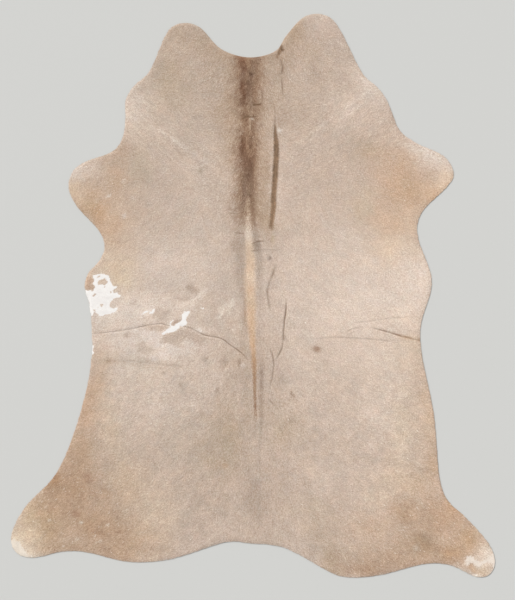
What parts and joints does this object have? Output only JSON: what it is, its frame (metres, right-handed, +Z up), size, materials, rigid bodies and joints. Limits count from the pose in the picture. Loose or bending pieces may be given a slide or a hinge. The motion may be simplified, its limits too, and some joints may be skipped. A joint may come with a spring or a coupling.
{
  "type": "cowhide rug",
  "caption": "Flat tanned cowhide rug with the hair on, cut in the natural outline of a whole hide: neck lobes, foreleg points, narrow waist, spread hind legs, soft creases in the coat.",
  "frame": {"origin": "middle of the hide's bounding box, on the floor under it", "axes": "+Z up from the floor through the coat, +Y along the spine towards the neck, +X towards the flank on the right seen from above"},
  "size_m": [1.8297, 2.1298, 0.0063],
  "materials": {
    "coat": "short laid hair, matt with a faint sheen",
    "flesh_side": "napped suede"
  },
  "bodies": {
    "root": {"hide": "coat"}
  },
  "joints": []
}
